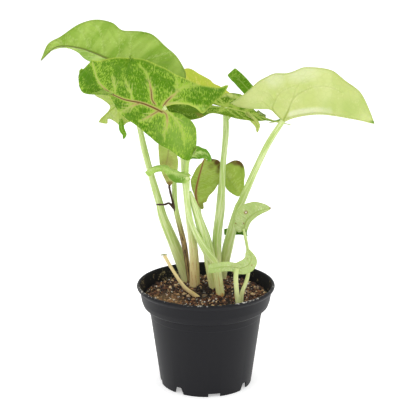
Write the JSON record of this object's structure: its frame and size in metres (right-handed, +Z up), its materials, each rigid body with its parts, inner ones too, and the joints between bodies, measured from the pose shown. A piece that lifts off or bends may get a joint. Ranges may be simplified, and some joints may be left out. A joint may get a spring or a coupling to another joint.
{
  "type": "potted arrowhead plant",
  "caption": "Arrowhead vine with speckled, pale-veined leaves on tall slender stalks, growing from bark potting mix in a round tapered black plastic nursery pot with a wide collar.",
  "frame": {"origin": "centre of the pot's underside, on the flat pad that touches the table", "axes": "+Z up along the pot's axis, +X to the right and -Y towards the viewer of the side with the large speckled leaf"},
  "size_m": [0.266, 0.1365, 0.3051],
  "materials": {
    "pot": "satin black moulded plastic",
    "soil": "loose bark and peat crumbs with white perlite, matte",
    "variegated_leaf": "soft satin leaf, green with pale speckles",
    "pale_leaf": "soft satin leaf, its pale underside outwards",
    "yellow_leaf": "soft satin leaf turning yellow",
    "young_leaf": "soft satin young leaf, mid green",
    "dry_stalk": "dried straw-coloured stalk, matte"
  },
  "bodies": {
    "root": {"pot": "pot", "soil": "soil", "leaf_left": "pale_leaf", "leaf_front": "variegated_leaf", "leaf_right": "pale_leaf", "leaf_middle": "variegated_leaf", "leaf_back": "yellow_leaf", "leaf_behind": "young_leaf", "leaf_low": "yellow_leaf", "leaf_curled": "young_leaf", "leaf_withered": "yellow_leaf", "leaf_drooping": "young_leaf", "seedling_upper": "pale_leaf", "seedling_lower": "pale_leaf", "dead_stalk": "dry_stalk"}
  },
  "joints": []
}
